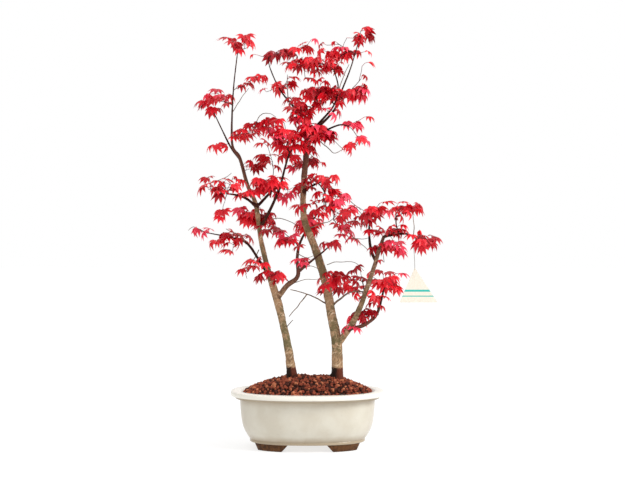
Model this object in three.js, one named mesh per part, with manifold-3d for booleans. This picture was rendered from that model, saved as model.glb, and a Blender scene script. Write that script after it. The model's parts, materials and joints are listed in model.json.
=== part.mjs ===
// A bonsai maple with two trunks in an oval glazed pot on four clay feet.
// Millimetres, +Z up, +X to the right and -Y towards the viewer. The origin is the
// centre of the pot's footprint on the surface that the feet stand on.

import * as THREE from 'three';
import { mergeVertices } from 'three/addons/utils/BufferGeometryUtils.js';
import Module from 'manifold-3d';

const wasm = await Module();
wasm.setup();

// ---- driving dimensions ----

const GAP = 0.35;              // air kept between two neighbouring solids

const RIM_HALF_LENGTH = 134;   // pot rim, outside, along X
const RIM_HALF_DEPTH = 100;    // pot rim, outside, along Y
const OVAL_POWER = 2.3;        // 2 is a true ellipse, more is squarer
const OVAL_SIDES = 24;
const RIM_TOP = 100;
const LIP_HEIGHT = 9;
const RIM_FLAT = 16;           // width of the flat top of the rim
const WALL_INSET = 16;         // outer wall under the lip, measured in from the rim
const WALL_THICK = 7;
const BASE_INSET = 34;
const POT_UNDERSIDE = 12;
const FLOOR_TOP = 20;

const FOOT_HEIGHT = POT_UNDERSIDE - GAP;
const FOOT_TOP_SPAN = [33, 91];      // nearest and furthest X of a foot at the pot
const FOOT_SOLE_SPAN = [44, 85];     // the same at the standing surface
const FOOT_WIDTH = 15;               // from the outer face in towards the pot's middle

const SOIL_EDGE = 97;          // height of the soil where it meets the rim
const MOUND_RISE = 27;         // the mound's middle above its edge
const TRUNK_CUT = 117;         // flat cut under both trunks, just under the grains

const TAG_WIDTH = 64;
const TAG_HEIGHT = 59;
const TAG_THICK = 1;
const TAG_APEX = [181, -86, 316];
const STRING_RADIUS = 0.6;

// ---- joining and cutting ----

// A geometry's shared corners become one vertex each, which makes it a closed solid.
function solidOf(geometry) {
  const bare = geometry.index ? geometry.toNonIndexed() : geometry.clone();
  bare.deleteAttribute('normal');
  bare.deleteAttribute('uv');
  const merged = mergeVertices(bare, 1e-4);
  const vertProperties = new Float32Array(merged.attributes.position.array);
  const triVerts = new Uint32Array(merged.index.array);
  return new wasm.Manifold(new wasm.Mesh({ numProp: 3, vertProperties, triVerts }));
}

// The largest connected body of a solid, as a three.js geometry.
function geometryOf(solid) {
  const mesh = solid.getMesh();
  const corners = mesh.vertProperties;
  const faces = mesh.triVerts;
  const lead = Array.from({ length: corners.length / 3 }, (_, i) => i);
  const find = (i) => {
    while (lead[i] !== i) {
      lead[i] = lead[lead[i]];
      i = lead[i];
    }
    return i;
  };
  for (let f = 0; f < faces.length; f += 3) {
    lead[find(faces[f])] = find(faces[f + 1]);
    lead[find(faces[f + 1])] = find(faces[f + 2]);
  }
  const bodies = new Map();
  for (let f = 0; f < faces.length; f += 3) {
    const [a, b, c] = [0, 1, 2].map((k) => new THREE.Vector3().fromArray(corners, 3 * faces[f + k]));
    const body = bodies.get(find(faces[f])) ?? { volume: 0, index: [] };
    body.volume += a.dot(b.cross(c)) / 6;
    body.index.push(faces[f], faces[f + 1], faces[f + 2]);
    bodies.set(find(faces[f]), body);
  }
  const main = [...bodies.values()].sort((p, q) => q.volume - p.volume)[0];
  const geometry = new THREE.BufferGeometry();
  geometry.setAttribute('position', new THREE.BufferAttribute(new Float32Array(corners), 3));
  geometry.setIndex(main.index);
  return mergeVertices(geometry.toNonIndexed(), 1e-3);
}

// Rings of equal length, one above the next, skinned and closed by a fan at each end.
function skin(rings) {
  const count = rings[0].length;
  const points = rings.flat();
  const index = [];
  for (let r = 0; r + 1 < rings.length; r += 1) {
    for (let i = 0; i < count; i += 1) {
      const j = (i + 1) % count;
      const [a, b] = [r * count + i, r * count + j];
      index.push(a, b, b + count, a, b + count, a + count);
    }
  }
  const middle = (ring) => ring.reduce((sum, p) => sum.add(p), new THREE.Vector3()).divideScalar(count);
  const last = (rings.length - 1) * count;
  points.push(middle(rings[0]), middle(rings[rings.length - 1]));
  for (let i = 0; i < count; i += 1) {
    const j = (i + 1) % count;
    index.push(j, i, points.length - 2);
    index.push(last + i, last + j, points.length - 1);
  }
  const geometry = new THREE.BufferGeometry().setFromPoints(points);
  geometry.setIndex(index);
  return geometry;
}

// ---- limbs ----

// A limb runs smoothly through its stations, each [x, y, z, radius]. Growing it by the
// gap gives the space that its neighbours are cut back to.
function limb(stations, sides, grow = 0) {
  const path = new THREE.CatmullRomCurve3(stations.map((s) => new THREE.Vector3(s[0], s[1], s[2])), false, 'centripetal');
  const steps = Math.max(3, Math.round((stations.length - 1) * 1.1));
  const frames = path.computeFrenetFrames(steps, false);
  const rings = [];
  for (let i = 0; i <= steps; i += 1) {
    const at = path.getUtoTmapping(i / steps) * (stations.length - 1);
    const low = Math.min(Math.floor(at), stations.length - 2);
    const radius = THREE.MathUtils.lerp(stations[low][3], stations[low + 1][3], at - low) + grow;
    const centre = path.getPointAt(i / steps);
    if (i === 0) centre.addScaledVector(frames.tangents[i], -grow);
    if (i === steps) centre.addScaledVector(frames.tangents[i], grow);
    rings.push(Array.from({ length: sides }, (_, k) => {
      const turn = (2 * Math.PI * k) / sides;
      return centre.clone()
        .addScaledVector(frames.normals[i], radius * Math.cos(turn))
        .addScaledVector(frames.binormals[i], radius * Math.sin(turn));
    }));
  }
  return solidOf(skin(rings));
}

// A trunk stands on a flat cut, with surface roots that run out and down into the soil.
function trunk(stations, roots, grow = 0) {
  const [x, y, , foot] = stations[0];
  let solid = limb(stations, 8, grow);
  for (const { bearing, reach, rise, thick } of roots) {
    const turn = THREE.MathUtils.degToRad(bearing);
    const along = (distance, height, radius) => [
      x + distance * Math.cos(turn), y + distance * Math.sin(turn), TRUNK_CUT + height, radius,
    ];
    const root = [
      along(0, rise, thick),
      along(foot, rise * 0.45, thick * 0.9),
      along(reach, -1, thick * 0.5),
    ];
    solid = solid.add(limb(root, 5, grow));
  }
  const below = new THREE.BoxGeometry(120, 120, 60);
  below.translate(x, y, TRUNK_CUT - grow - 30);
  return solid.subtract(solidOf(below));
}

const trunks = {
  left_trunk: {
    roots: [
      { bearing: 215, reach: 19, rise: 14, thick: 4 },
      { bearing: 20, reach: 18, rise: 12, thick: 4 },
    ],
    stations: [
      [-27, 6, 110, 10.5], [-29, 6, 130, 7.6], [-34, 6, 168, 6.3], [-42, 7, 211, 6.1],
      [-54, 8, 260, 7.4], [-69, 9, 309, 4.7], [-82, 12, 362, 4.5], [-91, 16, 424, 4.2],
      [-106, 20, 459, 3.6], [-120, 26, 507, 3.2], [-133, 28, 529, 2.7], [-134, 30, 578, 2.2],
      [-131, 34, 637, 1.8], [-124, 40, 702, 1.2],
    ],
  },
  right_trunk: {
    roots: [
      { bearing: 186, reach: 24, rise: 20, thick: 4 },
      { bearing: 330, reach: 20, rise: 11, thick: 4.5 },
    ],
    stations: [
      [52, -6, 110, 11.5], [52, -6, 130, 9.6], [52, -6, 160, 9], [50, -6, 191, 8.6],
      [41, -3, 236, 8], [33, 0, 283, 7.9], [15, 0, 343, 7.7], [-6, 0, 401, 5.6],
      [-6, 0, 467, 5.4], [-1, 2, 523, 5.6], [1, 3, 553, 4.8],
    ],
  },
};

const boughs = {
  // off the left trunk
  bough_left_inner_back: [
    [-51, 8, 262, 6], [-36, 2, 282, 6], [-17, -8, 299, 5.4], [-18, -4, 331, 3.8],
    [-12, 16, 360, 3.2], [6, 30, 392, 2.6], [20, 36, 412, 1.8],
  ],
  bough_left_crossing: [[-14, -9, 308, 4.2], [11, -22, 329, 3], [25, -28, 340, 2.6], [43, -36, 356, 1.8]],
  bough_left_low_back: [[-70, 9, 302, 3], [-88, 24, 330, 2.8], [-108, 40, 356, 2.4], [-136, 66, 366, 2], [-182, 92, 375, 1.4]],
  bough_left_inner_front: [[-82, 14, 386, 3.2], [-64, 2, 418, 3], [-48, -16, 454, 2.6], [-39, -30, 486, 2.2], [-30, -40, 515, 1.6]],
  bough_left_fork: [[-90, 16, 420, 3], [-73, 5, 437, 3], [-58, -10, 452, 2.2]],
  bough_left_side_front: [[-91, 16, 421, 3], [-106, 0, 434, 2.6], [-123, -18, 440, 2.2], [-140, -34, 442, 1.6]],
  bough_left_high_back: [[-119, 26, 504, 2.6], [-136, 38, 526, 2.4], [-153, 50, 559, 2], [-168, 58, 590, 1.4]],
  // off the right trunk
  bough_right_main: [
    [50, -6, 176, 6.4], [67, -14, 200, 6.8], [81, -26, 224, 6.4], [94, -42, 256, 5.4],
    [105, -54, 289, 4.8], [115, -62, 321, 4.4], [123, -70, 349, 4], [130, -74, 369, 3.4],
  ],
  bough_right_tip: [[130, -74, 368, 3], [150, -78, 372, 2.6], [170, -80, 372, 2], [186, -80, 364, 1.4]],
  bough_right_inward: [[117, -63, 325, 3], [109, -54, 344, 2.8], [106, -46, 372, 2.4], [107, -44, 404, 1.6]],
  bough_right_low: [[74, -20, 208, 4], [98, -14, 214, 3.8], [120, 2, 230, 3.4], [130, 20, 256, 2.8], [136, 32, 278, 1.8]],
  bough_centre_front: [[-6, 0, 446, 3], [4, -16, 454, 2.6], [22, -36, 462, 1.8]],
  bough_right_high_front: [[2, 3, 537, 3], [32, -22, 552, 2.6], [56, -42, 560, 2.2], [72, -54, 556, 1.4]],
  leader_left: [[-1, 3, 546, 4], [-8, 8, 573, 3.8], [-26, 20, 599, 3.2], [-49, 36, 629, 2.6], [-67, 48, 669, 1.8], [-70, 51, 690, 1.2]],
  leader_middle: [[2, 2, 549, 3.6], [25, -10, 571, 3.2], [46, -24, 596, 2.6], [53, -34, 626, 2.2], [44, -36, 660, 1.4]],
  leader_right: [[3, 4, 548, 3.8], [24, 14, 566, 3.4], [47, 26, 592, 3], [61, 32, 628, 2.6], [75, 30, 663, 2.2], [86, 24, 698, 1.7], [92, 19, 722, 1.1]],
};

// ---- foliage ----

// A repeatable run of numbers from 0 to 1, so that each lump is uneven in its own way.
function numbers(seed) {
  let state = seed * 7919 + 17;
  return () => {
    state = (state * 16807) % 2147483647;
    return state / 2147483647;
  };
}

// A lump is a ball pushed in and out, then brought to its half width, depth and height.
function lump([x, y, z, wide, deep, tall], seed, grow) {
  const next = numbers(seed);
  const waves = Array.from({ length: 5 }, () => ({
    along: new THREE.Vector3(next() - 0.5, next() - 0.5, next() - 0.5).normalize(),
    pitch: 2.2 + 2.6 * next(),
    start: 6.3 * next(),
  }));
  const ball = new THREE.IcosahedronGeometry(1, 1);
  const at = ball.attributes.position;
  const point = new THREE.Vector3();
  for (let i = 0; i < at.count; i += 1) {
    point.fromBufferAttribute(at, i);
    const push = waves.reduce((sum, w) => sum + Math.sin(w.pitch * point.dot(w.along) + w.start), 0);
    point.multiplyScalar(1 + 0.085 * push);
    at.setXYZ(i, point.x, point.y, point.z);
  }
  ball.computeBoundingBox();
  const size = ball.boundingBox.getSize(new THREE.Vector3());
  const middle = ball.boundingBox.getCenter(new THREE.Vector3());
  ball.translate(-middle.x, -middle.y, -middle.z);
  ball.scale(2 * (wide + grow) / size.x, 2 * (deep + grow) / size.y, 2 * (tall + grow) / size.z);
  ball.translate(x, y, z);
  return solidOf(ball);
}

// A mass is one body made of one, two or three lumps, each
// [x, y, z, half width, half depth, half height].
const masses = {
  foliage_top_left: [[-124, 40, 711, 21, 24, 22]],
  foliage_left_high_inner: [[-107, 26, 640, 26, 22, 19]],
  foliage_left_high_outer: [[-172, 60, 600, 38, 34, 17], [-153, 52, 622, 20, 20, 14]],
  foliage_left_stem: [[-112, 24, 553, 28, 24, 28]],
  foliage_left_small: [[-158, 48, 531, 22, 20, 13]],
  foliage_centre_left_front: [[-38, -46, 532, 30, 34, 19], [-59, -34, 555, 31, 26, 18]],
  foliage_centre_high: [[20, -32, 543, 29, 25, 20], [-10, -24, 580, 19, 22, 25]],
  foliage_upper_centre: [[27, -30, 611, 38, 32, 17], [14, -44, 632, 27, 22, 12], [73, -8, 618, 34, 34, 20]],
  foliage_leader_left: [[-34, 40, 646, 21, 28, 18]],
  foliage_top_front: [[11, -34, 662, 53, 34, 16]],
  foliage_top_right: [[57, 32, 693, 36, 28, 13]],
  foliage_top_back: [[-57, 52, 691, 25, 28, 11], [-20, 40, 698, 27, 26, 14]],
  foliage_top_tip: [[95, 18, 720, 19, 20, 18]],
  foliage_right_high: [[70, -54, 558, 30, 28, 18], [80, -66, 526, 23, 22, 20]],
  foliage_trunk_mid: [[-15, 25, 489, 16, 18, 11], [7, 25, 497, 15, 18, 10]],
  foliage_left_mid: [[-97, 14, 499, 20, 22, 18], [-66, 2, 497, 20, 22, 21]],
  foliage_left_fork: [[-64, -20, 459, 27, 30, 19]],
  foliage_left_side: [[-150, -40, 455, 24, 24, 16], [-114, -28, 452, 24, 22, 21], [-146, -50, 422, 15, 22, 31]],
  foliage_left_inner: [[-91, 44, 400, 32, 24, 22]],
  foliage_far_left: [[-200, 100, 380, 23, 22, 13]],
  foliage_left_low: [[-138, 70, 360, 40, 30, 20], [-130, 64, 339, 16, 20, 16]],
  foliage_left_lowest: [[-98, -4, 311, 23, 24, 20], [-62, -22, 302, 27, 24, 21]],
  foliage_centre_low: [[-41, -4, 362, 33, 28, 19]],
  foliage_trunk_left: [[-29, 10, 440, 26, 24, 12]],
  foliage_centre_back: [[3, 32, 392, 20, 26, 27]],
  foliage_centre_front: [[27, -42, 465, 26, 28, 17], [49, -50, 427, 31, 30, 29]],
  foliage_right_inner: [[66, -12, 381, 29, 28, 30]],
  foliage_right_top: [[112, -44, 414, 30, 28, 17]],
  foliage_right_outer: [[164, -84, 414, 31, 30, 13], [150, -90, 388, 18, 20, 26]],
  foliage_far_right: [[200, -82, 354, 24, 37, 19]],
  foliage_right_mid: [[134, -66, 346, 28, 30, 16]],
  foliage_right_low: [[136, 34, 286, 34, 32, 27]],
  foliage_right_lowest: [[118, 8, 250, 20, 22, 18], [95, -6, 224, 20, 22, 16]],
  foliage_trunk_right_low: [[52, 36, 282, 35, 27, 26]],
};

// ---- pot, feet and soil ----

// The pot's oval, drawn in from the rim by `inset`, at height z.
function oval(inset, z) {
  return Array.from({ length: OVAL_SIDES }, (_, i) => {
    const turn = (2 * Math.PI * i) / OVAL_SIDES;
    const bend = (v) => Math.sign(v) * Math.abs(v) ** (2 / OVAL_POWER);
    return new THREE.Vector3(
      (RIM_HALF_LENGTH - inset) * bend(Math.cos(turn)),
      (RIM_HALF_DEPTH - inset) * bend(Math.sin(turn)),
      z,
    );
  });
}

function potGeometry() {
  const under = RIM_TOP - LIP_HEIGHT;
  const inner = WALL_INSET + WALL_THICK;
  return skin([
    oval(BASE_INSET, POT_UNDERSIDE),
    oval(BASE_INSET, POT_UNDERSIDE + 4),
    oval(BASE_INSET - 6, 26),
    oval(WALL_INSET + 4, 38),
    oval(WALL_INSET + 1, 62),
    oval(WALL_INSET, under - 4),
    oval(WALL_INSET - 8, under - 4),
    oval(WALL_INSET - 10, under),
    oval(2, under),
    oval(0, under + 2),
    oval(0, RIM_TOP - 1.5),
    oval(2, RIM_TOP),
    oval(RIM_FLAT, RIM_TOP),
    oval(inner, RIM_TOP - 10),
    oval(inner + 2, 50),
    oval(inner + 14, FLOOR_TOP),
  ]);
}

// The mound's height over its edge, at a share of the way out from the middle.
function mound(share, turn) {
  const dome = 1 - share ** 3.2;
  const bumps = 0.06 * Math.sin(3 * turn + 1) * Math.sin(Math.PI * share);
  return SOIL_EDGE + MOUND_RISE * (dome + bumps);
}

function soilGeometry() {
  const inner = WALL_INSET + WALL_THICK + GAP;
  const rings = [
    oval(inner + 14.3, FLOOR_TOP + GAP),
    oval(inner + 2, 50),
    oval(inner, RIM_TOP - 10),
  ];
  for (const share of [1, 0.84, 0.6, 0.3]) {
    rings.push(oval(inner - 2, 0).map((p, i) => new THREE.Vector3(
      p.x * share, p.y * share, mound(share, (2 * Math.PI * i) / OVAL_SIDES),
    )));
  }
  return skin(rings);
}

// One foot follows the pot's outline round a corner and draws in towards its sole.
function footGeometry(sideX, sideY) {
  const ring = (span, inset, z) => {
    const edge = (x, extra) => {
      const a = RIM_HALF_LENGTH - inset - extra;
      const b = RIM_HALF_DEPTH - inset - extra;
      const share = Math.min(Math.abs(x) / a, 0.999);
      return b * (1 - share ** OVAL_POWER) ** (1 / OVAL_POWER);
    };
    const xs = Array.from({ length: 6 }, (_, i) => THREE.MathUtils.lerp(span[0], span[1], i / 5));
    const outer = xs.map((x) => new THREE.Vector3(sideX * x, sideY * edge(x, 0), z));
    const back = xs.map((x) => {
      const y = Math.max(edge(x, 0) - FOOT_WIDTH, edge(Math.min(x, span[1]), FOOT_WIDTH));
      return new THREE.Vector3(sideX * x, sideY * Math.min(y, edge(x, 0) - 6), z);
    });
    const loop = [...outer, ...back.reverse()];
    return sideX * sideY > 0 ? loop.reverse() : loop;
  };
  return skin([
    ring(FOOT_SOLE_SPAN, BASE_INSET + 3, 0),
    ring(FOOT_TOP_SPAN, BASE_INSET + 1, FOOT_HEIGHT),
  ]);
}

// ---- colours ----

const finish = (colour, roughness, metalness = 0) => new THREE.MeshStandardMaterial({ color: colour, roughness, metalness });
const glaze = () => finish(0xe9e2cf, 0.25);
const clay = () => finish(0x5a3c28, 0.85);
const grit = () => finish(0x7a4028, 0.95);
const bark = () => finish(0x7b6a48, 0.85);
const leaf = () => finish(0xb8142c, 0.7);
const card = () => finish(0xf4eee2, 0.8);
const thread = () => finish(0x9a968e, 0.9);

// ---- the whole plant ----

const group = new THREE.Group();

function place(name, geometry, material) {
  const mesh = new THREE.Mesh(geometry, material);
  mesh.name = name;
  group.add(mesh);
}

place('pot', potGeometry(), glaze());
for (const [yName, sideY] of [['front', -1], ['back', 1]]) {
  for (const [xName, sideX] of [['left', -1], ['right', 1]]) {
    place(`foot_${yName}_${xName}`, footGeometry(sideX, sideY), clay());
  }
}

// Each limb is cut back from the limbs before it, and keeps the space that it needs.
const spaces = [];
let soil = solidOf(soilGeometry());
for (const [name, { stations, roots }] of Object.entries(trunks)) {
  place(name, geometryOf(trunk(stations, roots)), bark());
  const space = trunk(stations, roots, GAP);
  soil = soil.subtract(space);
  spaces.push(space);
}
place('soil', geometryOf(soil), grit());
for (const [name, stations] of Object.entries(boughs)) {
  const sides = stations[0][3] > 5 ? 7 : 5;
  const solid = spaces.reduce((rest, space) => rest.subtract(space), limb(stations, sides));
  place(name, geometryOf(solid), bark());
  spaces.push(limb(stations, sides, GAP));
}

// The card tag hangs from the right bough's tip by one strand of thread.
const [tagX, tagY, tagZ] = TAG_APEX;
const strand = [
  [tagX, tagY, tagZ + GAP, STRING_RADIUS],
  [tagX - 1, tagY + 0.5, tagZ + 24, STRING_RADIUS],
  [tagX - 3, tagY + 2, tagZ + 49, STRING_RADIUS],
];
const strandSolid = spaces.reduce((rest, space) => rest.subtract(space), limb(strand, 5));
place('tag_string', geometryOf(strandSolid), thread());
spaces.push(limb(strand, 5, GAP));
const triangle = new THREE.Shape();
triangle.moveTo(0, 0);
triangle.lineTo(-0.4 * TAG_WIDTH, -TAG_HEIGHT);
triangle.lineTo(0.6 * TAG_WIDTH, -TAG_HEIGHT);
triangle.closePath();
const tag = new THREE.ExtrudeGeometry(triangle, { depth: TAG_THICK, bevelEnabled: false });
tag.rotateX(Math.PI / 2);
tag.translate(tagX, tagY + TAG_THICK / 2, tagZ);
place('tag', tag, card());

// Each mass of leaves is cut round the limbs in it and back from the masses before it.
let seed = 1;
for (const [name, lumps] of Object.entries(masses)) {
  const whole = (grow) => lumps.map((size, i) => lump(size, seed * 10 + i, grow)).reduce((sum, one) => sum.add(one));
  const solid = spaces.reduce((rest, space) => rest.subtract(space), whole(0));
  place(name, geometryOf(solid), leaf());
  spaces.push(whole(GAP + 0.15));
  seed += 1;
}

export default group;
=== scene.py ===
import json
import math
import random

import bpy
import numpy as np
from mathutils import Euler, Matrix, Vector, noise
from mathutils.bvhtree import BVHTree
from mathutils.kdtree import KDTree

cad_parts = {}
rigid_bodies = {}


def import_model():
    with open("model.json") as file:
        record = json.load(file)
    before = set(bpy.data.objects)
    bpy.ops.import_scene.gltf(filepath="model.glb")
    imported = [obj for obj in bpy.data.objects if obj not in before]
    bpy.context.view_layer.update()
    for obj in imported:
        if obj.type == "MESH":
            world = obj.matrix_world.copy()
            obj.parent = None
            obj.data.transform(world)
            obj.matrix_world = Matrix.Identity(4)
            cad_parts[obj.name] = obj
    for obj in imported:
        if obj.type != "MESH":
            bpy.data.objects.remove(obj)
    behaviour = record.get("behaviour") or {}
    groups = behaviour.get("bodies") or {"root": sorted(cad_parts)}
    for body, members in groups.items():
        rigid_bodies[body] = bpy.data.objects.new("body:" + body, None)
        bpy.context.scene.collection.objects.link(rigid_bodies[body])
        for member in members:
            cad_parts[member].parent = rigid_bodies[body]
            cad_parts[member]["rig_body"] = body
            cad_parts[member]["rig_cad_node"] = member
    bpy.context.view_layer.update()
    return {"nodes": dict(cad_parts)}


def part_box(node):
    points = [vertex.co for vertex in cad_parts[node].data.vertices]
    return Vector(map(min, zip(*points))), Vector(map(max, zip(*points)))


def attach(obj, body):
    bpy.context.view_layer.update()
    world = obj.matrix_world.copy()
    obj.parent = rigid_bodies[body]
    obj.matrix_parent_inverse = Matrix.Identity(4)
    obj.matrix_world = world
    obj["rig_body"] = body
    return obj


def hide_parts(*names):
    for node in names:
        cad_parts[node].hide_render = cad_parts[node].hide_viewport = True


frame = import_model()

MM = 0.001

# ---- camera, floor and light ----
# The tree stands on a wide white light table in a bright studio, seen level from the front.
# A large soft light hangs high on the right, and the studio's left side is kept dimmer.
CAMERA_PLACE = (0.00875, -2.3, 0.3647)
CAMERA_LENS = 75.7
TREE_MIDDLE = Vector((0, 0, 0.3))
WHITE = (1, 1, 1, 1)
# The studio's light by how far to the left or right it comes from, -1 to 1.
STUDIO_DIMMING = {"From Min": -0.9, "From Max": -0.3, "To Min": 0.72, "To Max": 1.0}
TABLE_RADIUS = 14
TABLE_GREY = (0.36, 0.36, 0.36, 1)
TABLE_GLOW = 0.70
scene = bpy.context.scene
scene.view_settings.view_transform = "Standard"
camera = bpy.data.objects.new("camera", bpy.data.cameras.new("camera"))
scene.collection.objects.link(camera)
camera.location = CAMERA_PLACE
camera.rotation_euler = (math.radians(90), 0, 0)
camera.data.sensor_width = 36
camera.data.lens = CAMERA_LENS
scene.camera = camera

world = bpy.data.worlds.new("studio")
world.use_nodes = True
studio_nodes = world.node_tree.nodes
studio_links = world.node_tree.links
studio_light = studio_nodes["Background"]
studio_light.inputs["Color"].default_value = WHITE
direction = studio_nodes.new("ShaderNodeTexCoord")
axes = studio_nodes.new("ShaderNodeSeparateXYZ")
dimming = studio_nodes.new("ShaderNodeMapRange")
dimming.interpolation_type = "SMOOTHSTEP"
for name, value in STUDIO_DIMMING.items():
    dimming.inputs[name].default_value = value
studio_links.new(direction.outputs["Generated"], axes.inputs[0])
studio_links.new(axes.outputs["X"], dimming.inputs["Value"])
studio_links.new(dimming.outputs[0], studio_light.inputs["Strength"])
scene.world = world


def soft_light(name, place, width, watts):
    """A square studio light at place, turned to the middle of the tree."""
    light = bpy.data.objects.new(name, bpy.data.lights.new(name, "AREA"))
    scene.collection.objects.link(light)
    light.location = place
    light.rotation_euler = (TREE_MIDDLE - Vector(place)).to_track_quat("-Z", "Y").to_euler()
    light.data.size = width
    light.data.energy = watts


soft_light("key_light", (2.1, -1.3, 1.9), width=1.0, watts=58)
soft_light("side_light", (-2.2, -1.2, 1.2), width=1.4, watts=2)


def clear_selection():
    """Leaves object mode on, with nothing selected."""
    if bpy.context.object and bpy.context.object.mode != "OBJECT":
        bpy.ops.object.mode_set(mode="OBJECT")
    bpy.ops.object.select_all(action="DESELECT")


def select_only(piece):
    """Selects one piece and makes it the active one."""
    clear_selection()
    piece.select_set(True)
    bpy.context.view_layer.objects.active = piece


clear_selection()
bpy.ops.mesh.primitive_circle_add(vertices=96, radius=TABLE_RADIUS, fill_type="NGON")
floor = bpy.context.object
floor.name = "floor"
floor_paint = bpy.data.materials.new("floor_paint")
floor_paint.use_nodes = True
floor_shader = floor_paint.node_tree.nodes["Principled BSDF"]
floor_shader.inputs["Base Color"].default_value = TABLE_GREY
floor_shader.inputs["Emission Color"].default_value = WHITE
floor_shader.inputs["Emission Strength"].default_value = TABLE_GLOW
floor_shader.inputs["Roughness"].default_value = 1.0
floor_shader.inputs["Specular IOR Level"].default_value = 0.0
floor.data.materials.append(floor_paint)

# ---- pot ----
# An oval stoneware bonsai pot, pressed in a mould and glazed ivory all over, with a flat
# rolled lip over two fine steps, a full belly and a thin foot band. The glaze runs thin and
# beige at the foot band and on the steps. The same beige is painted as shade under the lip,
# in the steps' grooves, over the underside of the belly and at the oval's two ends, and the
# lip's top is painted paler as a highlight.
RIM_HALF = (134, 100)
OVAL_POWER = 2.3
POT_SIDES = 112
# The pot's wall from under its floor, up the outside, over the lip and down the inside: how
# far in from the rim's outline each place lies, and how high, in millimetres.
POT_PROFILE = (
    (80, 12.9), (42, 12.8), (37.5, 12.5), (35.5, 12), (34, 12.3), (33.4, 13), (33.4, 16),
    (33.8, 16.8), (33, 17.6), (30.2, 21.5), (27.3, 26), (24.4, 31), (22, 36.5), (20.2, 43),
    (18.8, 50), (17.8, 58), (17, 67), (16.4, 77), (16, 85.6), (15.6, 86.6), (9, 87),
    (8, 87.4), (7.4, 90.4), (6.6, 91), (3, 91.3), (0.8, 92), (0, 93.5), (0, 97.6), (0.7, 99.2),
    (2.2, 100), (14.8, 100), (16.4, 99.2), (20, 94), (23, 88), (25, 60),
)


def oval_points(count, half_x, half_y):
    """Points round an oval that is a little squarer than an ellipse."""
    points = []
    for step in range(count):
        turn = 2 * math.pi * step / count
        c, s = math.cos(turn), math.sin(turn)
        points.append((
            half_x * math.copysign(abs(c) ** (2 / OVAL_POWER), c),
            half_y * math.copysign(abs(s) ** (2 / OVAL_POWER), s),
        ))
    return points


clear_selection()
first_inset, first_height = POT_PROFILE[0]
bpy.ops.mesh.primitive_circle_add(
    vertices=POT_SIDES, radius=MM, fill_type="NGON", location=(0, 0, first_height * MM))
pot = bpy.context.object
pot.name = "pot_body"
bpy.ops.object.transform_apply()
outline = oval_points(POT_SIDES, RIM_HALF[0] - first_inset, RIM_HALF[1] - first_inset)
for vert, (x, y) in zip(pot.data.vertices, outline, strict=True):
    vert.co.x, vert.co.y = x * MM, y * MM
bpy.ops.object.mode_set(mode="EDIT")
bpy.ops.mesh.select_all(action="SELECT")
before = POT_PROFILE[0]
for inset, height in POT_PROFILE[1:]:
    bpy.ops.mesh.extrude_edges_move()
    bpy.ops.transform.translate(value=(0, 0, (height - before[1]) * MM))
    bpy.ops.transform.resize(
        value=(
            (RIM_HALF[0] - inset) / (RIM_HALF[0] - before[0]),
            (RIM_HALF[1] - inset) / (RIM_HALF[1] - before[0]),
            1,
        ),
        center_override=(0, 0, height * MM),
    )
    before = (inset, height)
bpy.ops.mesh.edge_face_add()
bpy.ops.mesh.select_all(action="SELECT")
bpy.ops.mesh.remove_doubles(threshold=1e-6)
bpy.ops.mesh.normals_make_consistent(inside=False)
bpy.ops.object.mode_set(mode="OBJECT")


def refine(piece, kind, **settings):
    """Adds one modifier to a piece, sets it and applies it."""
    select_only(piece)
    modifier = piece.modifiers.new(kind.lower(), kind)
    for name, value in settings.items():
        setattr(modifier, name, value)
    bpy.ops.object.modifier_apply(modifier=modifier.name)


def smooth_shade(piece, degrees):
    """Rounds the shading where faces meet at less than that angle."""
    select_only(piece)
    bpy.ops.object.shade_smooth_by_angle(angle=math.radians(degrees))


smooth_shade(pot, 34)


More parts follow.
